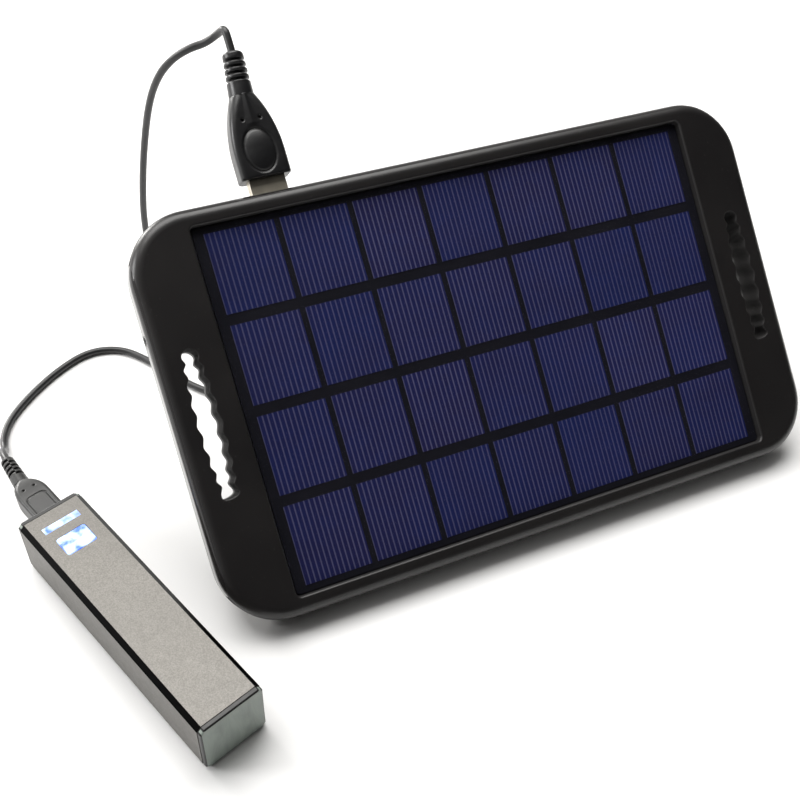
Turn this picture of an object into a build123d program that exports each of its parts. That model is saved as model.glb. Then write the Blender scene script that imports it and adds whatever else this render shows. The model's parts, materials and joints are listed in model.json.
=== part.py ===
from build123d import *
import os
from math import cos, pi, radians, sin, sqrt, tan

os.makedirs("parts", exist_ok=True)

# A solar phone charger: a leaning solar panel with a rear kickstand, a small power bank on the same table,
# and the USB lead between them. Millimetres, +Z up, the table at z = 0, and the origin under the middle of
# the panel, stand and bank together.

# ---- Driving dimensions: solar panel ----
panel_width = 225.0
panel_height = 132.5
panel_thickness = 13.0
panel_corner = 21.0
front_round = 4.0
rear_round = 3.0
lean = 42.0                  # panel surface above horizontal, degrees
shell_thickness = 3.4        # height of the rear shell, up to the parting line
rear_wall = 2.0
laminate_width = 180.0
laminate_height = 119.0
laminate_corner = 1.2
laminate_depth = 2.0         # cover surface below the front face
laminate_gap = 0.5           # all round the laminate
ledge_width = 3.5            # ledge that the laminate is taped to
tape_thickness = 0.3
board_thickness = 1.1
cell_thickness = 0.2
cover_thickness = 0.3
lip_round = 0.8
columns, rows = 7, 4
cell_width = 22.95
cell_height = 25.95
cell_pitch_x = 25.0
cell_pitch_y = 29.6
ribbon_thickness = 0.15
ribbon_width = 3.0
well_corner = 3.0
tape_overlap = 0.5           # tape stands back from the well by this much

# ---- Driving dimensions: scalloped strap slots ----
slot_offset = 101.5
slot_half_length = 24.0
slot_half_width = 4.0
slot_taper = 0.45            # share of the half width lost at the ends
scallops = 4                 # on each side of the middle one
scallop_reach = 21.3         # middle of the last scallop
scallop_depth = 0.85
scallop_crowding = 67.5      # degrees of a sine that brings the outer scallops closer together
slot_wall = 2.4              # wall kept round a slot inside the bezel

# ---- Driving dimensions: kickstand ----
leg_width = 60.0
leg_thickness = 3.0
leg_side_gap = 0.5
leg_face_gap = 0.2
hinge_up = 40.0              # hinge line above the middle of the panel
stand_open = 63.0            # degrees that the leg swings out
pin_radius = 1.0
pin_running_fit = 0.06
pin_seat = 4.0               # length of pin in each side wall
knuckle_wall = 0.75
heel_length = 3.1
heel_thickness = 1.6
heel_gap = 0.05
knuckle_gap = 1.2
foot_height = 4.0
foot_side_inset = 2.0
recess_end_gap = 1.2
recess_wall = 1.6
tray_side = 5.0
finger_radius = 11.0
tray_corner = 2.0
leg_dish, leg_dish_border, leg_dish_corner = 0.8, 7.0, 5.0
leg_dish_drop = 2.0          # the dish sits this much below the middle of the leg

# ---- Driving dimensions: USB-A plug and socket ----
usb_x = -61.0
usb_z = 5.2                  # middle of the plug above the rear face
usb_width, usb_height, usb_sheet = 12.0, 4.5, 0.3
usb_fit = 0.25               # plug shell to socket shell
usb_depth = 14.0
usb_engaged = 9.5
usb_shown = 5.05             # bright metal left showing between panel and overmould
usb_embedded = 3.0
socket_setback = 0.4
grip_half_width = 8.4
grip_thickness = 9.0
grip_straight = 7.0
grip_length = 27.2
grip_end_half = 4.2
grip_end_thickness = 8.0
grip_round = 1.3
grip_base_round = 0.6
thumb_width, thumb_length, thumb_depth, thumb_up = 9.7, 13.4, 0.45, 8.6
shell_window, shell_window_at = 2.4, 2.2     # square holes that the socket springs catch in
pin_hole_radius, pin_hole_depth, pin_hole_spread, pin_hole_up = 0.5, 1.8, 5.8, 18.8
relief_length = 14.2
relief_start_radius, relief_end_radius = 4.2, 3.3
relief_lean = 4.0            # the cord has pulled this relief over by this many degrees
relief_grooves = 4
relief_shoulder = 0.3        # rounding of a relief's end, as a share of its radius
groove_width, groove_core = 1.1, 0.6
grooves_from, grooves_to = 0.27, 0.9     # shares of the relief's length

# ---- Driving dimensions: power bank ----
bank_size = 22.0
bank_length = 97.0
bank_chamfer = 1.6
bank_wall = 1.2
cap_thickness = 1.5
bank_turn = 19.02            # turn of the bank on the table, degrees
bank_aside = 41.74           # middle of its far end, outwards from the panel's left edge
bank_far_y = 11.47           # and back from the panel's middle
cell_radius = 9.1
battery_length, battery_end_gap, battery_round = 65.0, 1.2, 0.8
wrap_thickness, wrap_setback = 0.15, 1.0
tab_thickness, tab_across, tab_high = 0.15, 8.0, 6.0
pad_width, pad_length, pad_gap = 5.0, 18.0, 0.05
light_bar_at, light_bar_length, light_bar_width = 8.3, 2.6, 12.6
button_at, button_length, button_width = 17.2, 7.8, 10.2
button_corner = 0.8
button_gap = 0.15
button_travel = 0.3
button_flange, button_flange_reach = 0.7, 0.6
button_proud, button_round = 0.1, 0.25

# ---- Driving dimensions: micro-USB plug and socket ----
micro_x, micro_z = 0.3, 16.3
micro_width, micro_height, micro_sheet, micro_cut = 6.85, 1.8, 0.25, 1.0
micro_embedded = 2.0         # shell length inside the overmould
micro_hole_radius, micro_hole_depth, micro_hole_spread, micro_hole_up = 0.4, 1.3, 3.8, 12.2
micro_insert_back, micro_setback = 0.8, 0.3
micro_tongue_width, micro_tongue_height, micro_tongue_up, micro_tongue_back = 3.6, 0.6, 0.2, 1.6
micro_fit = 0.05
micro_engaged = 5.0
micro_depth = 5.6
micro_gap = 0.6              # overmould to the end cap
micro_grip_length = 17.4
micro_grip_width = 10.4
micro_grip_thickness = 7.5
micro_neck = 5.6
micro_grip_straight = 9.0
micro_grip_round = 0.8
micro_relief_length = 13.0
micro_relief_end = 4.4
micro_relief_bend = 7.0      # the cord has pulled this relief over by this many degrees

# ---- Driving dimensions: cord ----
cord_radius = 1.3

# ---- Heights and lengths of the kickstand ----
s, c = sin(radians(lean)), cos(radians(lean))
panel_lift = (panel_height / 2 - rear_round) * s + rear_round * (1 - c)
panel_depth = (panel_thickness - laminate_depth) * s
recess_floor = leg_thickness + 3 * leg_face_gap
knuckle_radius = pin_radius + knuckle_wall
hinge_z = recess_floor - leg_face_gap - leg_thickness / 2
hinge_height = panel_lift + hinge_up * s + hinge_z * c
hinge_depth = panel_depth + hinge_up * c - hinge_z * s
leg_tilt = radians(lean + stand_open - 90)      # leg back from the vertical
leg_reach = hinge_height / cos(leg_tilt)        # hinge line to the table
heel_swing = sqrt(heel_length ** 2 + (heel_thickness / 2) ** 2)
heel_rise = heel_length * sin(radians(stand_open)) + heel_thickness / 2 * cos(radians(stand_open))
pocket_floor = hinge_z + heel_rise + heel_gap
pocket_top = hinge_up + heel_swing + heel_gap
pocket_bottom = hinge_up - knuckle_radius - knuckle_gap
recess_bottom = hinge_up - leg_reach - recess_end_gap
recess_width = leg_width + 2 * leg_side_gap

# ---- Where the three units stand ----
bank_far_x = -(panel_width / 2 + bank_aside)
bank_c, bank_s = cos(radians(bank_turn)), sin(radians(bank_turn))
bank_left = bank_far_x - (bank_size / 2) * bank_c
bank_front = bank_far_y - (bank_size / 2) * bank_s - bank_length * bank_c
panel_back = panel_depth + (panel_height / 2 - rear_round) * c - rear_round * s + rear_round
foot_back = hinge_depth + leg_reach * sin(leg_tilt) + leg_thickness / 2 * cos(leg_tilt)
middle_x = (bank_left + panel_width / 2) / 2
middle_y = (bank_front + max(panel_back, foot_back)) / 2

panel_plane = Plane(
    origin=(-middle_x, panel_depth - middle_y, panel_lift),
    x_dir=(1, 0, 0),
    z_dir=(0, -s, c),
)
panel_axis = Axis(panel_plane.origin, panel_plane.z_dir)


def panel_at(height):
    """The panel's own plane, at a height above its rear face."""
    return panel_plane.offset(height)


def panel_point(x, y, z):
    """A place on the panel: across, up and out of its face."""
    return panel_plane.from_local_coords(Vector(x, y, z))


bank_plane = Plane(
    origin=(bank_far_x - middle_x, bank_far_y - middle_y, 0),
    x_dir=(bank_c, bank_s, 0),
    z_dir=(0, 0, 1),
)
bank_along = Axis(bank_plane.origin, bank_plane.y_dir)


def bank_at(height):
    """The bank's own plane, at a height above the table. The bank lies along -Y of it."""
    return bank_plane.offset(height)


def bank_end(across, height, along=0.0):
    """A plane across the bank, facing out of its far end, with its own Y pointing up."""
    return Plane(
        origin=bank_plane.from_local_coords(Vector(across, along, height)),
        x_dir=-bank_plane.x_dir,
        z_dir=bank_plane.y_dir,
    )


def save(piece, name):
    """Label a finished piece and write its STEP file."""
    piece.part.label = name
    export_step(piece.part, f"parts/{name}.step")


# ---- Scalloped slot outline, shared by the bezel and the rear shell ----
def slot_edge():
    """Half of the slot's outline, from its top end down its right side to its bottom end."""
    turn = radians(scallop_crowding)
    crests = [scallop_reach * sin(turn * k / scallops) / sin(turn) for k in range(-scallops, scallops + 1)]
    points = [(0, -slot_half_length)]
    for k, y in enumerate(crests):
        half = slot_half_width * (1 - slot_taper * (y / slot_half_length) ** 2)
        points.append((half, y))
        if k < 2 * scallops:
            middle = (y + crests[k + 1]) / 2
            waist = slot_half_width * (1 - slot_taper * (middle / slot_half_length) ** 2)
            points.append((waist - scallop_depth, middle))
    points.append((0, slot_half_length))
    return points


def slot_cutter(start, height):
    """A block of both slots' shape, from one height above the rear face, ready to be cut away."""
    right = slot_edge()
    left = [(-x, y) for x, y in reversed(right)][1:-1]
    with BuildPart() as cutter:
        with BuildSketch(panel_at(start)):
            for side in (-1, 1):
                with Locations((side * slot_offset, 0)):
                    with BuildLine(mode=Mode.PRIVATE) as outline:
                        Spline(*(right + left), periodic=True)
                    add(make_face(outline.edges(), mode=Mode.PRIVATE))
        extrude(amount=height)
    return cutter.part


slots = slot_cutter(-1.0, panel_thickness + 2.0)

# ---- Heights inside the panel ----
cover_top = panel_thickness - laminate_depth
board_top = cover_top - cover_thickness - cell_thickness
board_bottom = board_top - board_thickness
ledge_height = board_bottom - tape_thickness
well_width = laminate_width - 2 * ledge_width
well_height = laminate_height - 2 * ledge_width

# ---- USB-A socket place ----
port_gap = 0.15              # plastic clear of a socket shell, all round
usb_plane = Plane(
    origin=panel_point(usb_x, panel_height / 2, usb_z),
    x_dir=-panel_plane.x_dir,
    z_dir=panel_plane.y_dir,
)
socket_width = usb_width + 2 * (usb_fit + usb_sheet)
socket_height = usb_height + 2 * (usb_fit + usb_sheet)
port_reach = 3.0             # the cut-out runs on past both ends of the socket
with BuildPart() as usb_port:
    with BuildSketch(usb_plane.offset(-usb_depth - port_reach)):
        Rectangle(socket_width + 2 * port_gap, socket_height + 2 * port_gap)
    extrude(amount=usb_depth + 2 * port_reach)

# ---- Screws and feet, in the panel's own plane ----
screw_head_radius, screw_head_height = 1.9, 1.2
screw_radius, screw_length = 1.0, 6.4
screw_clearance = 0.12
screw_sink, screw_drive_radius, screw_drive_depth = 0.1, 0.8, 0.7
end_inset_x, end_inset_y = 9.5, 22.0
rail_spread, rail_inset = 96.0, 5.0
screw_places = [
    (i * (panel_width / 2 - end_inset_x), j * (panel_height / 2 - end_inset_y))
    for i in (-1, 1) for j in (-1, 1)
]
screw_places += [
    (i * rail_spread / 2, j * (panel_height / 2 - rail_inset)) for i in (-1, 1) for j in (-1, 1)
]
rubber_radius, rubber_height, rubber_seat, rubber_round = 4.0, 1.2, 0.5, 0.3
rubber_inset_x, rubber_inset_y = 24.0, 16.0
rubber_places = [
    (i * (panel_width / 2 - rubber_inset_x), j * (panel_height / 2 - rubber_inset_y))
    for i in (-1, 1) for j in (-1, 1)
]
pocket_width, pocket_height, pocket_roof = 17.0, 74.0, 2.4


def end_pockets(height):
    """The hollow of both end zones, less an island round each slot, as a sketch at one height."""
    with BuildSketch(panel_at(height)) as pockets:
        for side in (-1, 1):
            with Locations((side * slot_offset, 0)):
                Rectangle(pocket_width, pocket_height)
        for side in (-1, 1):
            with Locations((side * slot_offset, 0)):
                SlotOverall(
                    2 * (slot_half_length + slot_wall),
                    2 * (slot_half_width + slot_wall),
                    rotation=90,
                    mode=Mode.SUBTRACT,
                )
    return pockets.sketch


# ---- Front bezel ----
with BuildPart() as front_bezel:
    with BuildSketch(panel_at(shell_thickness)):
        RectangleRounded(panel_width, panel_height, panel_corner)
    extrude(amount=panel_thickness - shell_thickness)
    fillet(front_bezel.edges().group_by(panel_axis)[-1], front_round)
    with BuildSketch(panel_at(ledge_height)):
        RectangleRounded(
            laminate_width + 2 * laminate_gap,
            laminate_height + 2 * laminate_gap,
            laminate_corner + laminate_gap,
        )
    extrude(amount=panel_thickness, mode=Mode.SUBTRACT)
    fillet(front_bezel.edges(Select.LAST).group_by(panel_axis)[-1], lip_round)
    with BuildSketch(panel_at(0)):
        RectangleRounded(well_width, well_height, well_corner)
    extrude(amount=panel_thickness, mode=Mode.SUBTRACT)
    extrude(end_pockets(0), amount=panel_thickness - pocket_roof, mode=Mode.SUBTRACT)
    add(slots, mode=Mode.SUBTRACT)
    add(usb_port.part, mode=Mode.SUBTRACT)
    with BuildSketch(panel_at(0)):
        with Locations(*screw_places):
            Circle(screw_radius)
    extrude(amount=screw_head_height + screw_length, mode=Mode.SUBTRACT)
save(front_bezel, "front_bezel")

# ---- Rear shell with its kickstand recess ----
board_width, board_height, board_sheet = 46.0, 30.0, 1.0
board_edge_gap = 0.6
board_up = well_height / 2 - board_edge_gap - board_height / 2
circuit_top = usb_z - 0.2
post_radius, post_inset, post_bore, post_screw_radius = 2.2, 3.2, 0.9, 1.7
posts = [
    (usb_x + i * (board_width / 2 - post_inset), board_up + j * (board_height / 2 - post_inset))
    for i in (-1, 1) for j in (-1, 1)
]
tray_width = recess_width + 2 * tray_side
tray_bottom = recess_bottom - finger_radius - recess_wall
with BuildPart() as rear_shell:
    with BuildSketch(panel_at(0)):
        RectangleRounded(panel_width, panel_height, panel_corner)
    extrude(amount=shell_thickness)
    fillet(rear_shell.edges().group_by(panel_axis)[0], rear_round)
    with BuildSketch(panel_at(rear_wall)):
        RectangleRounded(well_width, well_height, well_corner)
    extrude(amount=panel_thickness, mode=Mode.SUBTRACT)
    extrude(end_pockets(rear_wall), amount=panel_thickness, mode=Mode.SUBTRACT)
    with BuildSketch(panel_at(rear_wall / 2)):
        with Locations((0, (pocket_top + recess_wall + tray_bottom) / 2)):
            RectangleRounded(tray_width, pocket_top + recess_wall - tray_bottom, tray_corner)
    extrude(amount=recess_floor + recess_wall - rear_wall / 2)
    with BuildSketch(panel_at(rear_wall / 2)):
        with Locations((0, (pocket_top + pocket_bottom) / 2)):
            Rectangle(tray_width, pocket_top - pocket_bottom + 2 * recess_wall)
    extrude(amount=pocket_floor + recess_wall - rear_wall / 2)
    with BuildSketch(panel_at(recess_floor)):
        with Locations((0, (pocket_top + recess_bottom) / 2)):
            Rectangle(recess_width, pocket_top - recess_bottom)
        with Locations((0, recess_bottom)):
            Circle(finger_radius)
    extrude(amount=-panel_thickness, mode=Mode.SUBTRACT)
    with BuildSketch(panel_at(pocket_floor)):
        with Locations((0, (pocket_top + pocket_bottom) / 2)):
            Rectangle(recess_width, pocket_top - pocket_bottom)
    extrude(amount=-panel_thickness, mode=Mode.SUBTRACT)
    with BuildSketch(Plane(panel_point(0, hinge_up, hinge_z), z_dir=(1, 0, 0))):
        Circle(pin_radius)
    extrude(amount=recess_width / 2 + pin_seat, both=True, mode=Mode.SUBTRACT)
    with BuildSketch(panel_at(rear_wall / 2)):
        with Locations(*posts):
            Circle(post_radius)
    extrude(amount=circuit_top - board_sheet - rear_wall / 2)
    add(slots, mode=Mode.SUBTRACT)
    add(usb_port.part, mode=Mode.SUBTRACT)
    with BuildSketch(panel_at(0)):
        with Locations(*screw_places):
            Circle(screw_radius + screw_clearance)
    extrude(amount=panel_thickness, mode=Mode.SUBTRACT)
    with BuildSketch(panel_at(0)):
        with Locations(*screw_places):
            Circle(screw_head_radius + screw_clearance)
    extrude(amount=screw_head_height, mode=Mode.SUBTRACT)
    with BuildSketch(panel_at(0)):
        with Locations(*rubber_places):
            Circle(rubber_radius)
    extrude(amount=rubber_seat, mode=Mode.SUBTRACT)
save(rear_shell, "rear_shell")

# ---- Laminate: backing board, cells, cover, tape and ribbons ----
with BuildPart() as backing_board:
    with BuildSketch(panel_at(board_bottom)):
        RectangleRounded(laminate_width, laminate_height, laminate_corner)
    extrude(amount=board_thickness)
save(backing_board, "solar_backing_board")

with BuildPart() as solar_cells:
    with BuildSketch(panel_at(board_top)):
        with GridLocations(cell_pitch_x, cell_pitch_y, columns, rows):
            Rectangle(cell_width, cell_height)
    extrude(amount=cell_thickness)
save(solar_cells, "solar_cells")

with BuildPart() as cover_film:
    with BuildSketch(panel_at(board_top + cell_thickness)):
        RectangleRounded(laminate_width, laminate_height, laminate_corner)
    extrude(amount=cover_thickness)
save(cover_film, "cover_film")

with BuildPart() as laminate_tape:
    with BuildSketch(panel_at(ledge_height)):
        RectangleRounded(laminate_width, laminate_height, laminate_corner)
        RectangleRounded(
            well_width + 2 * tape_overlap, well_height + 2 * tape_overlap, well_corner, mode=Mode.SUBTRACT
        )
    extrude(amount=tape_thickness)
save(laminate_tape, "laminate_tape")

with BuildPart() as bus_ribbons:
    with BuildSketch(panel_at(board_bottom)):
        with GridLocations(0, cell_pitch_y, 1, rows):
            Rectangle((columns - 1) * cell_pitch_x, ribbon_width)
    extrude(amount=-ribbon_thickness)
save(bus_ribbons, "bus_ribbons")

# ---- Controller board and its components ----
socket_notch = 1.2           # board cut back behind the socket
post_screw_height = 1.0
inductor_side, inductor_height, inductor_corner, inductor_dimple = 7.0, 2.8, 1.2, 1.6
chip_length, chip_width, chip_height, chip_standoff = 5.0, 4.0, 1.3, 0.2
chip_leg_pitch, chip_leg_width, chip_leg_length, chip_leg_height = 1.27, 0.4, 1.4, 0.4
capacitor_radius, capacitor_height, capacitor_pitch = 2.0, 3.4, 7.0
diode_width, diode_length, diode_height = 2.8, 5.0, 2.2
inductor_place = (usb_x - 12.0, board_up - 4.0)
chip_place = (usb_x, board_up - 6.0)
capacitor_place = (usb_x + 11.0, board_up - 7.0)
diode_place = (usb_x + 17.0, board_up - 7.5)
with BuildPart() as controller_board:
    with BuildSketch(panel_at(circuit_top)):
        with Locations((usb_x, board_up)):
            Rectangle(board_width, board_height)
        with Locations((usb_x, panel_height / 2)):
            Rectangle(socket_width + 2 * port_gap, 2 * (usb_depth + socket_notch), mode=Mode.SUBTRACT)
        with Locations(*posts):
            Circle(post_bore, mode=Mode.SUBTRACT)
    extrude(amount=-board_sheet)
save(controller_board, "controller_board")

with BuildPart() as board_screws:
    with BuildSketch(panel_at(circuit_top)):
        with Locations(*posts):
            Circle(post_screw_radius)
    extrude(amount=post_screw_height)
save(board_screws, "board_screws")

with BuildPart() as inductor:
    with BuildSketch(panel_at(circuit_top)):
        with Locations(inductor_place):
            RectangleRounded(inductor_side, inductor_side, inductor_corner)
    extrude(amount=inductor_height)
    with BuildSketch(panel_at(circuit_top + inductor_height)):
        with Locations(inductor_place):
            Circle(inductor_dimple)
    extrude(amount=-inductor_height / 7, mode=Mode.SUBTRACT)
save(inductor, "inductor")

with BuildPart() as controller_chip:
    with BuildSketch(panel_at(circuit_top + chip_standoff)):
        with Locations(chip_place):
            Rectangle(chip_length, chip_width)
    extrude(amount=chip_height)
    with BuildSketch(panel_at(circuit_top)):
        with Locations(chip_place):
            with GridLocations(chip_leg_pitch, chip_length, 4, 2):
                Rectangle(chip_leg_width, chip_leg_length)
    extrude(amount=chip_leg_height)
save(controller_chip, "controller_chip")

with BuildPart() as capacitors:
    with BuildSketch(panel_at(circuit_top)):
        with Locations(capacitor_place):
            with Locations((0, 0), (0, capacitor_pitch)):
                Circle(capacitor_radius)
    extrude(amount=capacitor_height)
save(capacitors, "capacitors")

with BuildPart() as diode:
    with BuildSketch(panel_at(circuit_top)):
        with Locations(diode_place):
            Rectangle(diode_width, diode_length)
    extrude(amount=diode_height)
save(diode, "schottky_diode")


wire_radius, wire_bend = 0.55, 0.8
wire_height = (pocket_floor + recess_wall + board_bottom) / 2 - 0.1
wire_start_x, wire_end_x = usb_x + 19.0, -8.0


def panel_wire(name, from_x, from_y, to_x, to_y):
    """A wire that rises from the controller board and meets a ribbon under the laminate."""
    with BuildPart() as wire:
        with BuildLine() as path:
            FilletPolyline(
                panel_point(from_x, from_y, circuit_top),
                panel_point(from_x, from_y, wire_height),
                panel_point(to_x, to_y, wire_height),
                panel_point(to_x, to_y, board_bottom - ribbon_thickness),
                radius=wire_bend,
            )
        with BuildSketch(Plane(path.line @ 0, z_dir=path.line % 0)):
            Circle(wire_radius)
        sweep()
    save(wire, name)


panel_wire("lead_red", wire_start_x, board_up + 3.0, wire_end_x, cell_pitch_y / 2)
panel_wire("lead_black", wire_start_x, board_up - 2.0, wire_end_x, -cell_pitch_y / 2)

# ---- USB-A socket, shared by the panel and the bank ----
tongue_face, tongue_sheet, contact_sheet = 0.2, 1.6, 0.15
contact_pitch, contact_width, contact_count = 2.2, 1.1, 4
tongue_side_gap, tongue_setback, tongue_root_gap = 0.6, 1.8, 1.0
plug_tongue_gap, plug_tongue_setback, plug_filling = 0.05, 0.4, 1.5
plug_contact_start, plug_contact_length = 1.2, 7.5


def usb_socket(plane, name):
    """A USB-A socket that opens along a plane's normal: shell, tongue and contacts."""
    with BuildPart() as shell:
        with BuildSketch(plane.offset(-usb_depth - usb_sheet)):
            Rectangle(socket_width, socket_height)
        extrude(amount=usb_depth + usb_sheet - socket_setback)
        with BuildSketch(plane.offset(-usb_depth)):
            Rectangle(socket_width - 2 * usb_sheet, socket_height - 2 * usb_sheet)
        extrude(amount=usb_depth, mode=Mode.SUBTRACT)
    save(shell, name + "_shell")
    with BuildPart() as tongue:
        with BuildSketch(plane.offset(-usb_depth)):
            Rectangle(usb_width - tongue_side_gap / 3, socket_height - 2 * usb_sheet)
        extrude(amount=usb_depth - usb_engaged - tongue_root_gap)
        with BuildSketch(plane.offset(-usb_depth)):
            with Locations((0, tongue_face + tongue_sheet / 2)):
                Rectangle(usb_width - 2 * tongue_side_gap, tongue_sheet)
        extrude(amount=usb_depth - tongue_setback)
    save(tongue, name + "_tongue")
    with BuildPart() as contacts:
        with BuildSketch(plane.offset(-usb_engaged - tongue_root_gap + 0.1)):
            with Locations((0, tongue_face - contact_sheet / 2)):
                with GridLocations(contact_pitch, 0, contact_count, 1):
                    Rectangle(contact_width, contact_sheet)
        extrude(amount=usb_engaged + tongue_root_gap - 0.1 - tongue_setback - 0.7)
    save(contacts, name + "_contacts")


usb_socket(usb_plane, "panel_socket")

# ---- Screws, feet and hinge pin ----
with BuildPart() as shell_screws:
    with BuildSketch(panel_at(screw_sink)):
        with Locations(*screw_places):
            Circle(screw_head_radius)
    extrude(amount=screw_head_height - screw_sink)
    with BuildSketch(panel_at(screw_sink)):
        with Locations(*screw_places):
            RegularPolygon(screw_drive_radius, 6)
    extrude(amount=screw_drive_depth, mode=Mode.SUBTRACT)
    with BuildSketch(panel_at(screw_head_height)):
        with Locations(*screw_places):
            Circle(screw_radius)
    extrude(amount=screw_length)
save(shell_screws, "shell_screws")

with BuildPart() as rubber_feet:
    with BuildSketch(panel_at(rubber_seat)):
        with Locations(*rubber_places):
            Circle(rubber_radius)
    extrude(amount=-rubber_height)
    fillet(rubber_feet.edges().group_by(panel_axis)[0], rubber_round)
save(rubber_feet, "rubber_feet")

with BuildPart() as hinge_pin:
    with BuildSketch(Plane(panel_point(0, hinge_up, hinge_z), z_dir=(1, 0, 0))):
        Circle(pin_radius)
    extrude(amount=recess_width / 2 + pin_seat, both=True)
save(hinge_pin, "hinge_pin")

# ---- Kickstand leg and its rubber foot ----
leg_plane = Plane(
    origin=panel_point(0, hinge_up, hinge_z),
    x_dir=(1, 0, 0),
    z_dir=(0, -cos(leg_tilt), -sin(leg_tilt)),
)
leg_body = leg_reach - foot_height
with BuildPart() as stand_leg:
    with BuildSketch(leg_plane.offset(-leg_thickness / 2)):
        with Locations((0, -leg_body / 2)):
            Rectangle(leg_width, leg_body)
    extrude(amount=leg_thickness)
    with BuildSketch(Plane(leg_plane.origin, z_dir=(1, 0, 0))):
        Circle(knuckle_radius)
    extrude(amount=leg_width / 2, both=True)
    with BuildSketch(leg_plane.offset(-heel_thickness / 2)):
        with Locations((0, heel_length / 2)):
            Rectangle(leg_width, heel_length)
    extrude(amount=heel_thickness)
    for side in (-1, 1):
        with BuildSketch(leg_plane.offset(side * leg_thickness / 2)):
            with Locations((0, -leg_body / 2 - leg_dish_drop)):
                RectangleRounded(
                    leg_width - 2 * leg_dish_border,
                    leg_body - 2 * leg_dish_border - 2 * leg_dish_drop,
                    leg_dish_corner,
                )
        extrude(amount=-side * leg_dish, mode=Mode.SUBTRACT)
    with BuildSketch(Plane(leg_plane.origin, z_dir=(1, 0, 0))):
        Circle(pin_radius + pin_running_fit)
    extrude(amount=leg_width, both=True, mode=Mode.SUBTRACT)
save(stand_leg, "stand_leg")

with BuildPart() as stand_foot:
    with BuildSketch(leg_plane.offset(-leg_thickness / 2)):
        with Locations((0, -leg_body - foot_height / 2 - leg_thickness / 2)):
            Rectangle(leg_width - 2 * foot_side_inset, foot_height + leg_thickness)
    extrude(amount=leg_thickness)
    split(bisect_by=Plane.XY, keep=Keep.TOP)
save(stand_foot, "stand_foot")

# ---- Plug bodies, shared by both ends of the lead ----
def grip_outline(half, straight, length, end_half):
    """The closed outline of a plug body seen from above or from the side, as lines and tangent arcs."""
    with BuildLine() as outline:
        Polyline((half, straight), (half, 0), (-half, 0), (-half, straight))
        Line((end_half, length), (-end_half, length))
        for side in (1, -1):
            TangentArc((side * half, straight), (side * end_half, length), tangent=(0, 1))
    return outline.line


def moulded_grip(top, half_width, straight, length, end_half, thickness, end_thickness, rounding):
    """A moulded plug body along +Y of a plane: straight at first, then drawn in to its neck."""
    with BuildPart() as grip:
        with BuildSketch(top.offset(-thickness / 2)):
            with BuildLine():
                add(grip_outline(half_width, straight, length, end_half))
            make_face()
        extrude(amount=thickness)
        with BuildSketch(Plane(top.origin, x_dir=-top.z_dir, z_dir=top.x_dir)):
            with BuildLine():
                add(grip_outline(thickness / 2, straight, length, end_thickness / 2))
            make_face()
        extrude(amount=2 * half_width, both=True, mode=Mode.INTERSECT)
        along = Axis(top.origin, top.y_dir)
        ends = grip.edges().group_by(along)[0] + grip.edges().group_by(along)[-1]
        cross = grip.edges().filter_by(Axis(top.origin, top.x_dir))
        long_edges = [e for e in grip.edges() if e not in ends and e not in cross]
        fillet(long_edges, rounding)
        fillet(grip.edges().group_by(along)[0], grip_base_round)
    return grip.part


def strain_relief(plane, start_radius, end_radius, length, grooves, stagger, name):
    """A tapered relief that grows out of a plug body along a plane's normal, with grooves round it."""
    first, last = length * grooves_from, length * grooves_to
    pitch = (last - first) / grooves
    with BuildPart(plane) as relief:
        Cone(start_radius, end_radius, length, align=(Align.CENTER, Align.CENTER, Align.MIN))
        fillet(relief.edges().group_by(Axis(plane.origin, plane.z_dir))[-1], end_radius * relief_shoulder)
        for k in range(grooves):
            for side in (-1, 1):
                up = first + pitch * (k + 0.5 + side * stagger / 2)
                outer = start_radius + (end_radius - start_radius) * up / length
                with BuildSketch(plane.offset(up - groove_width / 2)):
                    with Locations((side * start_radius, 0)):
                        Rectangle(2 * start_radius, 4 * start_radius)
                    Circle(outer * groove_core, mode=Mode.SUBTRACT)
                extrude(amount=groove_width, mode=Mode.SUBTRACT)
    save(relief, name)


# ---- USB-A plug ----
with BuildPart() as usb_plug_shell:
    with BuildSketch(usb_plane.offset(-usb_engaged)):
        Rectangle(usb_width, usb_height)
        Rectangle(usb_width - 2 * usb_sheet, usb_height - 2 * usb_sheet, mode=Mode.SUBTRACT)
    extrude(amount=usb_engaged + usb_shown + usb_embedded)
    for side in (-1, 1):
        with BuildSketch(usb_plane.offset(-usb_engaged + shell_window_at)):
            with Locations((side * usb_width / 4, 0)):
                Rectangle(shell_window, 2 * usb_height)
        extrude(amount=shell_window, mode=Mode.SUBTRACT)
save(usb_plug_shell, "usb_a_plug_shell")

with BuildPart() as usb_plug_tongue:
    with BuildSketch(usb_plane.offset(-usb_engaged + plug_tongue_setback)):
        with Locations((0, (-usb_height / 2 + usb_sheet - tongue_face - plug_tongue_gap) / 2)):
            Rectangle(usb_width - 2 * usb_sheet, usb_height / 2 - usb_sheet - tongue_face - plug_tongue_gap)
    extrude(amount=usb_engaged + usb_shown - plug_tongue_setback)
    with BuildSketch(usb_plane.offset(usb_shown - plug_filling)):
        Rectangle(usb_width - 2 * usb_sheet, usb_height - 2 * usb_sheet)
    extrude(amount=plug_filling + usb_embedded)
save(usb_plug_tongue, "usb_a_plug_tongue")

with BuildPart() as usb_plug_contacts:
    with BuildSketch(usb_plane.offset(-usb_engaged + plug_contact_start)):
        with Locations((0, -tongue_face - plug_tongue_gap + contact_sheet / 2)):
            with GridLocations(contact_pitch, 0, contact_count, 1):
                Rectangle(contact_width - 0.1, contact_sheet)
    extrude(amount=plug_contact_length)
save(usb_plug_contacts, "usb_a_plug_contacts")

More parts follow.
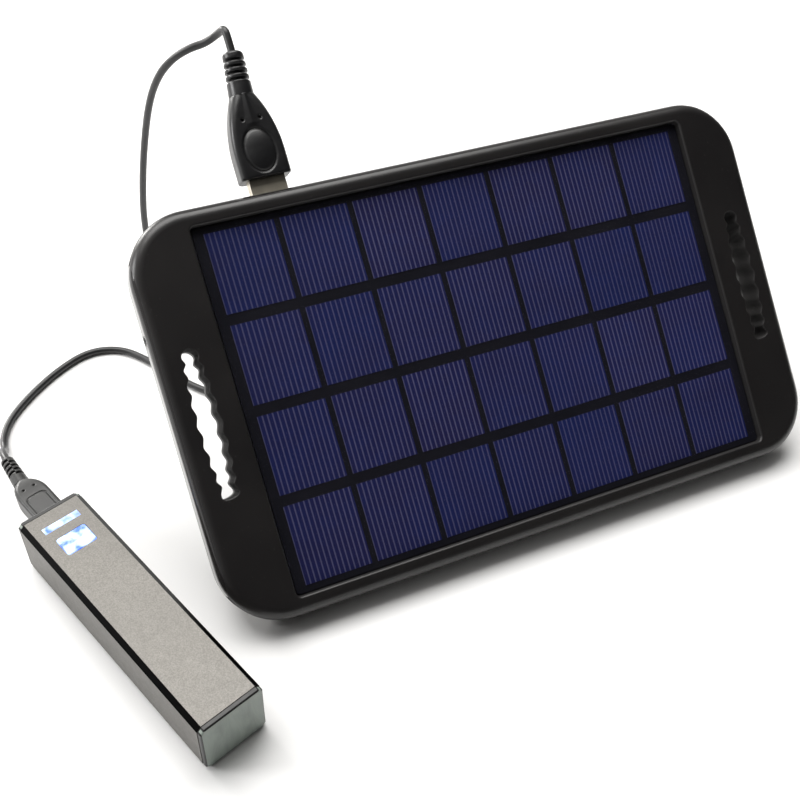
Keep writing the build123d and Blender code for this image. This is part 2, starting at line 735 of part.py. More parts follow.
grip_top = Plane(
    origin=panel_point(usb_x, panel_height / 2 + usb_shown, usb_z),
    x_dir=panel_plane.x_dir,
    z_dir=panel_plane.z_dir,
)
with BuildPart() as usb_overmould:
    add(moulded_grip(
        grip_top, grip_half_width, grip_straight, grip_length, grip_end_half,
        grip_thickness, grip_end_thickness, grip_round,
    ))
    with BuildSketch(usb_plane.offset(usb_shown)):
        Rectangle(usb_width, usb_height)
    extrude(amount=usb_embedded, mode=Mode.SUBTRACT)
    with BuildSketch(grip_top.offset(grip_thickness / 2)):
        with Locations((0, thumb_up)):
            Ellipse(thumb_width / 2, thumb_length / 2)
    extrude(amount=-thumb_depth, mode=Mode.SUBTRACT)
    with BuildSketch(grip_top.offset(grip_thickness / 2)):
        with Locations((-pin_hole_spread / 2, pin_hole_up), (pin_hole_spread / 2, pin_hole_up)):
            Circle(pin_hole_radius)
    extrude(amount=-pin_hole_depth, mode=Mode.SUBTRACT)
save(usb_overmould, "usb_a_overmould")

relief_turn = radians(relief_lean)
relief_plane = Plane(
    origin=panel_point(usb_x, panel_height / 2 + usb_shown + grip_length, usb_z),
    x_dir=panel_plane.y_dir * sin(relief_turn) - panel_plane.x_dir * cos(relief_turn),
    z_dir=panel_plane.y_dir * cos(relief_turn) + panel_plane.x_dir * sin(relief_turn),
)
strain_relief(
    relief_plane, relief_start_radius, relief_end_radius, relief_length, relief_grooves, 0.0,
    "usb_a_strain_relief",
)

# ---- Micro-USB plug ----
micro_plane = bank_end(micro_x, micro_z)


def micro_outline(clearance):
    """The micro-USB section, wider at its top, grown by a clearance."""
    width, height, cut = micro_width / 2 + clearance, micro_height / 2 + clearance, micro_cut
    with BuildSketch() as outline:
        Polygon(
            (-width, height), (width, height), (width, 0), (width - cut, -height),
            (-width + cut, -height), (-width, 0), align=None,
        )
    return outline.sketch


with BuildPart() as micro_plug_shell:
    with BuildSketch(micro_plane.offset(-micro_engaged)):
        add(micro_outline(0))
        add(micro_outline(-micro_sheet), mode=Mode.SUBTRACT)
    extrude(amount=micro_engaged + micro_gap + micro_embedded)
save(micro_plug_shell, "micro_usb_plug_shell")

with BuildPart() as micro_plug_insert:
    with BuildSketch(micro_plane.offset(-micro_insert_back)):
        add(micro_outline(-micro_sheet))
    extrude(amount=micro_insert_back + micro_gap + micro_embedded)
save(micro_plug_insert, "micro_usb_plug_insert")

micro_top = Plane(
    origin=bank_plane.from_local_coords(Vector(micro_x, micro_gap, micro_z)),
    x_dir=bank_plane.x_dir,
    z_dir=(0, 0, 1),
)
with BuildPart() as micro_overmould:
    add(moulded_grip(
        micro_top, micro_grip_width / 2, micro_grip_straight, micro_grip_length, micro_neck / 2,
        micro_grip_thickness, micro_neck, micro_grip_round,
    ))
    with BuildSketch(micro_plane.offset(micro_gap)):
        add(micro_outline(0))
    extrude(amount=micro_embedded, mode=Mode.SUBTRACT)
    with BuildSketch(micro_top.offset(micro_grip_thickness / 2)):
        with Locations((-micro_hole_spread / 2, micro_hole_up), (micro_hole_spread / 2, micro_hole_up)):
            Circle(micro_hole_radius)
    extrude(amount=-micro_hole_depth, mode=Mode.SUBTRACT)
save(micro_overmould, "micro_usb_overmould")

bend = radians(bank_turn - micro_relief_bend)
micro_relief_plane = Plane(
    origin=bank_plane.from_local_coords(Vector(micro_x, micro_gap + micro_grip_length, micro_z)),
    x_dir=(-cos(bend), -sin(bend), 0),
    z_dir=(-sin(bend), cos(bend), 0),
)
strain_relief(
    micro_relief_plane, micro_neck / 2, micro_relief_end / 2, micro_relief_length, relief_grooves, 0.5,
    "micro_usb_strain_relief",
)

# ---- Power bank: tube, caps and seals ----
seal_thickness, seal_lip = 0.3, 0.25
cap_plug, cap_setback, cap_round = 3.0, 0.1, 0.6
collar_gap, collar_sheet = 0.05, 1.15
output_z = 7.05
output_plane = bank_end(0, output_z)


def bank_section(inset):
    """The bank's square section with chamfered corners, drawn in by an inset."""
    side = bank_size - 2 * inset
    with BuildSketch() as section:
        Rectangle(side, side)
        chamfer(section.vertices(), bank_chamfer - inset * (2 - sqrt(2)))
    return section.sketch


def bank_slice(start, inset=0.0):
    """The section on a plane across the bank, at a distance behind its far end."""
    with BuildSketch(bank_end(0, bank_size / 2, -start)) as placed:
        add(bank_section(inset))
    return placed.sketch


tube_start = cap_thickness + seal_thickness
tube_length = bank_length - 2 * tube_start
with BuildPart() as bank_tube:
    extrude(bank_slice(tube_start), amount=-tube_length)
    extrude(bank_slice(tube_start, bank_wall), amount=-tube_length, mode=Mode.SUBTRACT)
    with BuildSketch(bank_at(bank_size)):
        with Locations((0, -light_bar_at)):
            Rectangle(light_bar_width, light_bar_length)
        with Locations((0, -button_at)):
            RectangleRounded(
                button_width + 2 * button_gap, button_length + 2 * button_gap, button_corner + button_gap
            )
    extrude(amount=-2 * bank_wall, mode=Mode.SUBTRACT)
save(bank_tube, "bank_tube")


def bank_cap(start, inward, name, sockets):
    """An end cap: a plate as wide as the tube, with a collar that fits inside it."""
    with BuildPart() as cap:
        extrude(bank_slice(start, cap_setback), amount=-cap_thickness)
        fillet(cap.edges().group_by(bank_along)[0 if inward > 0 else -1], cap_round)
        collar_start = start + (cap_thickness if inward < 0 else 0)
        collar_reach = inward * (cap_plug + seal_thickness)
        extrude(bank_slice(collar_start, bank_wall + collar_gap), amount=collar_reach)
        extrude(
            bank_slice(collar_start, bank_wall + collar_gap + collar_sheet),
            amount=collar_reach,
            mode=Mode.SUBTRACT,
        )
        if sockets:
            with BuildSketch(output_plane):
                Rectangle(socket_width + 2 * port_gap, socket_height + 2 * port_gap)
            extrude(amount=-cap_thickness - 2 * cap_plug, mode=Mode.SUBTRACT)
            with BuildSketch(micro_plane):
                add(micro_outline(micro_fit + micro_sheet + port_gap))
            extrude(amount=-cap_thickness - 2 * cap_plug, mode=Mode.SUBTRACT)
    save(cap, name)


bank_cap(0, -1, "far_end_cap", True)
bank_cap(bank_length - cap_thickness, 1, "near_end_cap", False)

with BuildPart() as end_seals:
    for start in (cap_thickness, bank_length - cap_thickness - seal_thickness):
        extrude(bank_slice(start, seal_lip), amount=-seal_thickness)
        extrude(bank_slice(start, bank_wall + collar_gap), amount=-seal_thickness, mode=Mode.SUBTRACT)
save(end_seals, "end_seals")

# ---- Power bank: battery ----
battery_end = bank_length - cap_thickness - cap_plug - battery_end_gap
with BuildPart() as battery:
    with BuildSketch(bank_end(0, bank_size / 2, -battery_end)):
        Circle(cell_radius)
    extrude(amount=battery_length)
    fillet(battery.edges(), battery_round)
save(battery, "battery_cell")

with BuildPart() as wrap:
    with BuildSketch(bank_end(0, bank_size / 2, -battery_end + wrap_setback)):
        Circle(cell_radius + wrap_thickness)
        Circle(cell_radius, mode=Mode.SUBTRACT)
    extrude(amount=battery_length - 2 * wrap_setback)
save(wrap, "battery_wrap")

with BuildPart() as tabs:
    with BuildSketch(bank_end(0, bank_size / 2, -battery_end)):
        Rectangle(tab_across, tab_high)
    extrude(amount=-tab_thickness)
    with BuildSketch(bank_end(0, bank_size / 2, -battery_end + battery_length)):
        Rectangle(tab_high, tab_across)
    extrude(amount=tab_thickness)
save(tabs, "cell_tabs")

pad_thickness = bank_size / 2 - bank_wall - cell_radius - wrap_thickness - pad_gap
with BuildPart() as foam_pads:
    with BuildSketch(bank_at(bank_wall)):
        with Locations((0, -battery_end + battery_length / 4), (0, -battery_end + battery_length * 3 / 4)):
            Rectangle(pad_width, pad_length)
    extrude(amount=pad_thickness)
save(foam_pads, "foam_pads")

# ---- Power bank: boards and sockets ----
board_start, main_length, output_length = 1.9, 23.0, 17.6
main_width, main_nose, nose_length, output_width = 17.0, 14.0, 2.0, 15.0
board_pin_radius, board_pin_pitch, board_pin_inset = 0.35, 2.0, 1.5
main_top = micro_z - micro_height / 2 - micro_fit - micro_sheet
with BuildPart() as main_board:
    with BuildSketch(bank_at(main_top)):
        with Locations((0, -cap_thickness - cap_plug - 0.6 - (main_length - nose_length) / 2)):
            Rectangle(main_width, main_length - nose_length)
        with Locations((0, -board_start - main_length / 2)):
            Rectangle(main_nose, main_length)
    extrude(amount=-board_sheet)
save(main_board, "bank_board")

output_top = output_z + socket_height / 2
with BuildPart() as output_board:
    with BuildSketch(bank_at(output_top)):
        with Locations((0, -board_start - output_length / 2)):
            Rectangle(output_width, output_length)
    extrude(amount=board_sheet)
save(output_board, "output_board")

with BuildPart() as board_pins:
    with BuildSketch(bank_at(output_top + board_sheet)):
        with Locations((0, -board_start - output_length + board_pin_inset)):
            with GridLocations(board_pin_pitch, 0, 6, 1):
                Circle(board_pin_radius)
    extrude(amount=main_top - board_sheet - output_top - board_sheet)
save(board_pins, "board_pins")

usb_socket(output_plane, "bank_output")

with BuildPart() as micro_socket:
    with BuildSketch(micro_plane.offset(-micro_setback)):
        add(micro_outline(micro_fit + micro_sheet))
    extrude(amount=-micro_depth)
    with BuildSketch(micro_plane):
        add(micro_outline(micro_fit))
    extrude(amount=-micro_depth, mode=Mode.SUBTRACT)
save(micro_socket, "micro_socket_shell")

with BuildPart() as micro_tongue:
    with BuildSketch(micro_plane.offset(-micro_depth)):
        with Locations((0, micro_tongue_up)):
            Rectangle(micro_tongue_width, micro_tongue_height)
    extrude(amount=micro_depth - micro_tongue_back)
save(micro_tongue, "micro_socket_tongue")

# ---- Power bank: light bar, indicator lights, button and switch ----
light_height, light_width, light_length, light_pitch = 0.8, 1.6, 1.2, 3.2
light_flange, light_flange_reach, light_stem_inset, light_gap = 0.7, 0.7, 0.3, 0.2
with BuildPart() as indicator_lights:
    with BuildSketch(bank_at(main_top)):
        with Locations((0, -light_bar_at)):
            with GridLocations(light_pitch, 0, 4, 1):
                Rectangle(light_width, light_length)
    extrude(amount=light_height)
save(indicator_lights, "indicator_lights")

with BuildPart() as light_bar:
    with BuildSketch(bank_at(bank_size)):
        with Locations((0, -light_bar_at)):
            Rectangle(light_bar_width, light_bar_length)
    extrude(amount=-bank_wall)
    with BuildSketch(bank_at(bank_size - bank_wall)):
        with Locations((0, -light_bar_at)):
            Rectangle(light_bar_width + 2 * light_flange_reach, light_bar_length + 2 * light_flange_reach)
    extrude(amount=-light_flange)
    with BuildSketch(bank_at(bank_size - bank_wall - light_flange)):
        with Locations((0, -light_bar_at)):
            Rectangle(light_bar_width - 2 * light_stem_inset, light_bar_length - 2 * light_stem_inset)
    extrude(amount=-(bank_size - bank_wall - light_flange - main_top - light_height - light_gap))
save(light_bar, "light_bar")

switch_height, switch_side, plunger_radius, plunger_height = 2.0, 6.0, 1.5, 0.5
button_bottom = main_top + switch_height + plunger_height + button_travel + button_proud
with BuildPart() as power_button:
    with BuildSketch(bank_at(bank_size + button_proud)):
        with Locations((0, -button_at)):
            RectangleRounded(button_width, button_length, button_corner)
    extrude(amount=-(bank_size + button_proud - button_bottom))
    with BuildSketch(bank_at(bank_size - bank_wall - button_proud)):
        with Locations((0, -button_at)):
            Rectangle(button_width + 2 * button_flange_reach, button_length + 2 * button_flange_reach)
    extrude(amount=-button_flange)
    fillet(power_button.edges().group_by(Axis.Z)[-1], button_round)
save(power_button, "power_button")

with BuildPart() as switch_body:
    with BuildSketch(bank_at(main_top)):
        with Locations((0, -button_at)):
            Rectangle(switch_side, switch_side)
    extrude(amount=switch_height)
save(switch_body, "switch_body")

with BuildPart() as switch_plunger:
    with BuildSketch(bank_at(main_top + switch_height)):
        with Locations((0, -button_at)):
            Circle(plunger_radius)
    extrude(amount=plunger_height)
save(switch_plunger, "switch_plunger")

# ---- Cord: from the USB-A relief, over the panel's top edge, down behind it and out to the bank ----
cord_start = relief_plane.offset(relief_length).origin
cord_end = micro_relief_plane.offset(micro_relief_length).origin
table = cord_radius + 0.05
route = [
    cord_start,
    (-33.9, 103.6, 124.4), (-34.0, 107.6, 127.9), (-35.4, 111.3, 124.2), (-39.3, 113.8, 120.4),
    (-44.0, 116.5, 118.1), (-49.2, 119.6, 113.9), (-53.8, 123.8, 106.4), (-57.0, 129.2, 94.4),
    (-59.3, 135.2, 77.0), (-61.5, 140.6, 56.0), (-62.8, 145.0, 34.5), (-61.5, 149.2, 15.0),
    (-55.5, 153.2, 3.0), (-43.5, 154.8, table), (-27.5, 149.0, table), (-15.5, 130.0, table),
    (-13.5, 102.0, table), (-22.5, 76.0, table), (-39.0, 64.5, table), (-54.0, 69.5, table),
    (-64.0, 80.0, table), (-71.5, 91.5, table), (-77.2, 102.0, table), (-85.2, 112.0, table),
    (-97.5, 115.0, table), (-110.8, 108.5, table), (-122.6, 99.4, table), (-131.8, 90.0, table),
    (-136.2, 81.2, table), (-136.8, 74.0, 2.0), (-136.6, 67.5, 8.0), (-137.4, 61.5, 15.2),
    cord_end,
]
route = [Vector(*point) for point in route]
runs = [b - a for a, b in zip(route, route[1:])]
radii = []
for before, after in zip(runs, runs[1:]):
    half_turn = radians(before.get_angle(after)) / 2
    radii.append(0.45 * min(before.length, after.length) / tan(half_turn))
print("cord radii", [round(radius, 1) for radius in radii])
with BuildPart() as charging_cord:
    with BuildLine() as cord_path:
        FilletPolyline(*route, radius=radii)
    with BuildSketch(Plane(cord_path.line @ 0, z_dir=cord_path.line % 0)):
        Circle(cord_radius)
    sweep()
save(charging_cord, "charging_cord")
cord_length = sum(edge.length for edge in cord_path.edges())
print("cord length", round(cord_length, 1))
print("cord volume", round(charging_cord.part.volume), "of", round(pi * cord_radius ** 2 * cord_length))
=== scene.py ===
import json
from math import cos, pi, radians, sin

import bmesh
import bpy
from mathutils import Matrix, Vector


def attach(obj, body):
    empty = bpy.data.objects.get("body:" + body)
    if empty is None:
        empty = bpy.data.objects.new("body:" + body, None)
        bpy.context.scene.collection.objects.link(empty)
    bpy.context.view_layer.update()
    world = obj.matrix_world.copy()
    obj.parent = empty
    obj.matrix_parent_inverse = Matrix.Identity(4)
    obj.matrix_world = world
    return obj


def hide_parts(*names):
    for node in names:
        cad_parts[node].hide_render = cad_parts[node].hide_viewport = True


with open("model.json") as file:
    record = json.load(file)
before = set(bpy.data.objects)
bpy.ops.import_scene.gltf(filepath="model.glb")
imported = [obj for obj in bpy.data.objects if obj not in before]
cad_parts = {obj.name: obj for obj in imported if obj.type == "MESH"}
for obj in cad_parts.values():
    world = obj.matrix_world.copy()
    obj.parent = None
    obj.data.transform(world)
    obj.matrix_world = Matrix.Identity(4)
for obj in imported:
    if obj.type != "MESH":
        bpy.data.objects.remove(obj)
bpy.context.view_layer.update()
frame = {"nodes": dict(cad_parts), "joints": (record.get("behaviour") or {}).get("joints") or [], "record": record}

nodes = frame["nodes"]
MM = 0.001

# ---- Places that the frame gives: the panel's own axes, and the bank's ----
mounts = {mount["name"]: mount for mount in frame["record"]["mounts"]}
panel_z = Vector(mounts["strap_slot_left"]["axis"]).normalized()
panel_x = Vector((1.0, 0.0, 0.0))
panel_y = panel_z.cross(panel_x).normalized()
slot_left = Vector(mounts["strap_slot_left"]["pos_m"])
slot_right = Vector(mounts["strap_slot_right"]["pos_m"])
face_middle = (slot_left + slot_right) / 2           # middle of the panel, on its front face
bank_y = Vector(mounts["bank_usb_output"]["axis"]).normalized()
bank_x = Vector((bank_y.y, -bank_y.x, 0.0))
bank_origin = Vector(mounts["bank_usb_output"]["pos_m"])
bank_origin.z = 0.0
world_up = Vector((0.0, 0.0, 1.0))

# ---- Sizes, in metres ----
PANEL_WIDTH, PANEL_HEIGHT = 0.225, 0.1325
PANEL_EDGE = 0.0016               # how far in from the outline the bezel's glossy band reaches
CELL_WIDTH = 0.02295
CELL_PITCH_X, CELL_PITCH_Y = 0.025, 0.0296
COLUMNS, ROWS = 7, 4
FINGERS = 13                      # silver lines across each cell
FINGER_SHARE = 0.13               # half the width of a line, as a share of their pitch
CORD_RADIUS = 0.0013
BANK_SIZE = 0.022
CAP_SEAM = 0.00055                # width of the dark line round the bank's end cap


def frame_matrix(origin, x, y, z):
    """The matrix of a piece's own frame, from its origin and its three axes."""
    m = Matrix((x, y, z)).transposed().to_4x4()
    m.translation = origin
    return m


# the panel's own frame: X across, Y up the face, Z out of it, starting at its front face
panel_frame = frame_matrix(face_middle, panel_x, panel_y, panel_z)
# the bank's own frame: it lies along -Y, with Z up from the table
bank_frame = frame_matrix(bank_origin, bank_x, bank_y, world_up)


# ---- Camera ----
CAMERA_PLACE = (-0.12463, -0.21710, 0.30007)
CAMERA_FORWARD = Vector((0.31447, 0.59107, -0.74279))
CAMERA_RIGHT = Vector((0.90791, -0.41573, 0.05356))
CAMERA_LENS, CAMERA_SENSOR = 48.87, 36.0          # millimetres
CAMERA_SHIFT = (-0.0219, 0.0594)

forward = CAMERA_FORWARD.normalized()
right = (CAMERA_RIGHT - forward * CAMERA_RIGHT.dot(forward)).normalized()
camera = bpy.data.objects.new("camera", bpy.data.cameras.new("camera"))
bpy.context.scene.collection.objects.link(camera)
camera.matrix_world = frame_matrix(Vector(CAMERA_PLACE), right, right.cross(forward), -forward)
camera.data.lens = CAMERA_LENS
camera.data.sensor_width = CAMERA_SENSOR
camera.data.shift_x, camera.data.shift_y = CAMERA_SHIFT
camera.data.clip_start, camera.data.clip_end = 0.01, 20.0
bpy.context.scene.camera = camera

# ---- Cord: the route's points, in millimetres, from the USB-A relief to the micro-USB one ----
TABLE = CORD_RADIUS / MM + 0.05   # height of the cord's middle where it lies on the table
cord_exit = (-33.94, 101.31, 122.34)
cord_stop = (-136.46, 55.03, 16.3)
ROUTE = [
    cord_exit,
    (-33.9, 103.6, 124.4), (-34.0, 107.6, 127.9), (-35.4, 111.3, 124.2), (-39.3, 113.8, 120.4),
    (-44.0, 116.5, 118.1), (-49.2, 119.6, 113.9), (-53.8, 123.8, 106.4), (-57.0, 129.2, 94.4),
    (-59.3, 135.2, 77.0), (-61.5, 140.6, 56.0), (-62.8, 145.0, 34.5), (-61.5, 149.2, 15.0),
    (-55.5, 153.2, 3.0), (-43.5, 154.8, TABLE), (-27.5, 149.0, TABLE), (-15.5, 130.0, TABLE),
    (-13.5, 102.0, TABLE), (-22.5, 76.0, TABLE), (-39.0, 64.5, TABLE), (-54.0, 69.5, TABLE),
    (-64.0, 80.0, TABLE), (-71.5, 91.5, TABLE), (-77.2, 102.0, TABLE), (-85.2, 112.0, TABLE),
    (-97.5, 115.0, TABLE), (-110.8, 108.5, TABLE), (-122.6, 99.4, TABLE), (-131.8, 90.0, TABLE),
    (-136.2, 81.2, TABLE), (-136.8, 74.0, 2.0), (-136.6, 67.5, 8.0), (-137.4, 61.5, 15.2),
    cord_stop,
]


def link(obj):
    bpy.context.scene.collection.objects.link(obj)
    return obj


def make_cord():
    curve = bpy.data.curves.new("charging_cord_run", "CURVE")
    curve.dimensions = "3D"
    line = curve.splines.new("NURBS")
    line.points.add(len(ROUTE) - 1)
    for point, place in zip(line.points, ROUTE):
        point.co = (place[0] * MM, place[1] * MM, place[2] * MM, 1.0)
        point.radius = CORD_RADIUS
    line.order_u = 3
    line.use_endpoint_u = True
    curve.resolution_u = 16
    curve.bevel_depth = 1.0          # times each point's radius
    curve.bevel_resolution = 6
    curve.use_fill_caps = True
    cord = link(bpy.data.objects.new("charging_cord_run", curve))
    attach(cord, "lead")
    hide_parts("charging_cord")
    return cord


cord = make_cord()


# ---- Materials: one small node kit, then a function for each finish ----
BEVEL_SAMPLES = 6
FINE_GRAIN, GRAIN_HEIGHT = 0.00002, 0.00003        # heights of surface texture, in metres
SPREAD = ((0.3, 0.0), (0.7, 1.0))                  # ramp stops over most of a noise's range
WIDE_SPREAD = ((0.3, 0.0), (0.75, 1.0))


class Shader:
    """A material's node tree, with short calls for the nodes that the finishes below share."""

    def __init__(self, name):
        self.material = bpy.data.materials.new(name)
        self.material.use_nodes = True
        self.tree = self.material.node_tree
        self.bsdf = self.tree.nodes["Principled BSDF"]

    def node(self, kind, **settings):
        made = self.tree.nodes.new(kind)
        for key, value in settings.items():
            setattr(made, key, value)
        return made

    def link(self, source, target):
        self.tree.links.new(source, target)

    def set(self, **values):
        names = {
            "color": "Base Color", "rough": "Roughness", "metal": "Metallic", "ior": "IOR",
            "coat": "Coat Weight", "coat_rough": "Coat Roughness", "specular": "Specular IOR Level",
            "glow_strength": "Emission Strength",
        }
        for key, value in values.items():
            if key == "color":
                value = (*value, 1.0)
            self.bsdf.inputs[names[key]].default_value = value

    def place(self, matrix=None, scale=(1.0, 1.0, 1.0)):
        """Coordinates in metres, in a given frame of the object at rest."""
        where = self.node("ShaderNodeTexCoord").outputs["Object"]
        if matrix is not None:
            back = matrix.inverted()
            turn = self.node("ShaderNodeMapping")
            turn.inputs["Location"].default_value = back.to_translation()
            turn.inputs["Rotation"].default_value = back.to_euler()
            self.link(where, turn.inputs["Vector"])
            where = turn.outputs["Vector"]
        if scale != (1.0, 1.0, 1.0):
            stretch = self.node("ShaderNodeMapping")
            stretch.inputs["Scale"].default_value = scale
            self.link(where, stretch.inputs["Vector"])
            where = stretch.outputs["Vector"]
        return where

    def noise(self, where, scale, detail=3.0, roughness=0.55, distortion=0.0):
        texture = self.node("ShaderNodeTexNoise")
        texture.inputs["Scale"].default_value = scale
        texture.inputs["Detail"].default_value = detail
        texture.inputs["Roughness"].default_value = roughness
        texture.inputs["Distortion"].default_value = distortion
        self.link(where, texture.inputs["Vector"])
        return texture.outputs["Fac"]

    def ramp(self, value, *stops):
        """A ramp of greys; each stop is (position, grey)."""
        ramp = self.node("ShaderNodeValToRGB")
        marks = ramp.color_ramp.elements
        while len(marks) < len(stops):
            marks.new(0.5)
        for mark, (position, grey) in zip(marks, stops):
            mark.position = position
            mark.color = (grey, grey, grey, 1.0)
        self.link(value, ramp.inputs["Fac"])
        return ramp.outputs["Color"]

    def math(self, operation, *values, clamp=False):
        made = self.node("ShaderNodeMath", operation=operation, use_clamp=clamp)
        for socket, value in zip(made.inputs, values):
            if isinstance(value, (int, float)):
                socket.default_value = value
            else:
                self.link(value, socket)
        return made.outputs[0]

    def mix(self, factor, first, second):
        """A colour mix. Each of first and second is a socket or an (r, g, b)."""
        made = self.node("ShaderNodeMix", data_type="RGBA")
        self.link(factor, made.inputs[0])
        for socket, value in ((made.inputs[6], first), (made.inputs[7], second)):
            if isinstance(value, tuple):
                socket.default_value = (*value, 1.0)
            else:
                self.link(value, socket)
        return made.outputs[2]

    def facing(self, axis):
        """How far a face looks along an axis of the object at rest: 1 square on, 0 from the side."""
        normal = self.node("ShaderNodeNewGeometry").outputs["Normal"]
        turn = self.node(
            "ShaderNodeVectorTransform", vector_type="NORMAL", convert_from="WORLD", convert_to="OBJECT"
        )
        self.link(normal, turn.inputs[0])
        dot = self.node("ShaderNodeVectorMath", operation="DOT_PRODUCT")
        self.link(turn.outputs[0], dot.inputs[0])
        dot.inputs[1].default_value = axis
        return self.math("ABSOLUTE", dot.outputs["Value"])

    def wear(self, width=0.0006):
        """0 on flat faces, up to 1 on edges and corners, from a bevelled normal."""
        bevel = self.node("ShaderNodeBevel", samples=BEVEL_SAMPLES)
        bevel.inputs["Radius"].default_value = width
        flat = self.node("ShaderNodeNewGeometry").outputs["Normal"]
        dot = self.node("ShaderNodeVectorMath", operation="DOT_PRODUCT")
        self.link(bevel.outputs["Normal"], dot.inputs[0])
        self.link(flat, dot.inputs[1])
        return self.math("SUBTRACT", 1.0, dot.outputs["Value"], clamp=True)

    def bump(self, height, strength, distance, soften=0.0):
        made = self.node("ShaderNodeBump")
        made.inputs["Strength"].default_value = strength
        made.inputs["Distance"].default_value = distance
        self.link(height, made.inputs["Height"])
        if soften:
            bevel = self.node("ShaderNodeBevel", samples=BEVEL_SAMPLES)
            bevel.inputs["Radius"].default_value = soften
            self.link(bevel.outputs["Normal"], made.inputs["Normal"])
        self.link(made.outputs["Normal"], self.bsdf.inputs["Normal"])


def moulded(name, dark, light, rough, grain=2600.0, soften=0.0, coat=0.0, scuff=0.08):
    """Moulded plastic or PVC: fine grain, cloudy tone, handling marks and paler edges."""
    m = Shader(name)
    where = m.place()
    cloud = m.noise(where, 60.0, 4.0)
    speck = m.noise(where, grain, 2.0)
    scratch = m.noise(m.place(scale=(40.0, 400.0, 90.0)), 3.0, 5.0, 0.7, 0.6)
    edge = m.math("MULTIPLY", m.wear(), 1.6, clamp=True)
    edge_tone = tuple(min(1.0, v * 2.2 + 0.02) for v in light)
    tone = m.mix(m.ramp(cloud, *WIDE_SPREAD), dark, light)
    tone = m.mix(m.math("MULTIPLY", edge, 0.35), tone, edge_tone)
    m.link(tone, m.bsdf.inputs["Base Color"])
    marks = m.math("SUBTRACT", m.ramp(scratch, (0.45, 0.0), (0.72, 1.0)), 0.3)
    wander = m.math("MULTIPLY", marks, scuff)
    gloss = m.math("ADD", wander, m.math("MULTIPLY_ADD", cloud, 0.12, rough - 0.06), clamp=True)
    m.link(gloss, m.bsdf.inputs["Roughness"])
    m.set(coat=coat, coat_rough=0.25)
    m.bump(speck, 0.35, GRAIN_HEIGHT, soften)
    return m.material


def metal(name, tint, rough):
    """Plain or plated metal with drawn lines, smudges and bright edges."""
    m = Shader(name)
    lines = m.noise(m.place(scale=(900.0, 60.0, 900.0)), 1.0, 4.0, 0.65)
    smudge = m.noise(m.place(), 140.0, 3.0)
    shade = m.mix(m.ramp(smudge, (0.35, 0.0), (0.7, 1.0)), tuple(v * 0.82 for v in tint), tint)
    shade = m.mix(m.math("MULTIPLY", m.wear(0.0003), 0.8, clamp=True), shade, (0.95, 0.95, 0.94))
    m.link(shade, m.bsdf.inputs["Base Color"])
    m.link(m.math("MULTIPLY_ADD", lines, 0.16, rough - 0.08, clamp=True), m.bsdf.inputs["Roughness"])
    m.set(metal=1.0)
    m.bump(lines, 0.25, FINE_GRAIN)
    return m.material


def panel_bezel():
    """Satin black ABS of the bezel, slightly warm, with a very fine texture and glossy edges."""
    m = Shader("bezel_plastic")
    where = m.place()
    cloud = m.noise(where, 34.0, 4.0)
    speck = m.noise(where, 3400.0, 2.0)
    dust = m.ramp(m.noise(where, 900.0, 1.0), (0.7, 0.0), (0.78, 1.0))
    spread = m.ramp(cloud, *WIDE_SPREAD)
    tone = m.mix(spread, (0.0120, 0.0110, 0.0115), (0.0180, 0.0165, 0.0165))
    tone = m.mix(m.math("MULTIPLY", dust, 0.10), tone, (0.16, 0.155, 0.15))
    tone = m.mix(m.math("MULTIPLY", m.wear(0.0007), 0.5, clamp=True), tone, (0.06, 0.056, 0.054))
    m.link(tone, m.bsdf.inputs["Base Color"])
    split = m.node("ShaderNodeSeparateXYZ")
    m.link(m.place(panel_frame), split.inputs[0])
    # the outer band is glossier than the face
    reach_x = m.math("SUBTRACT", m.math("ABSOLUTE", split.outputs[0]), PANEL_WIDTH / 2 - PANEL_EDGE)
    reach_y = m.math("SUBTRACT", m.math("ABSOLUTE", split.outputs[1]), PANEL_HEIGHT / 2 - PANEL_EDGE)
    outer = m.math("GREATER_THAN", m.math("MAXIMUM", reach_x, reach_y), 0.0)
    gloss = m.math("MULTIPLY_ADD", cloud, 0.08, 0.30, clamp=True)
    gloss = m.math("MULTIPLY_ADD", outer, -0.22, gloss, clamp=True)
    # walls of the slots and of the recess are rough from the mould and hardly shine
    wall = m.math("LESS_THAN", m.facing(panel_z), 0.25)
    wall = m.math("MULTIPLY", wall, m.math("SUBTRACT", 1.0, outer))
    m.link(m.math("MULTIPLY_ADD", wall, 0.65, gloss, clamp=True), m.bsdf.inputs["Roughness"])
    m.set(specular=0.5)
    m.bump(speck, 0.3, FINE_GRAIN, 0.0006)
    return m.material


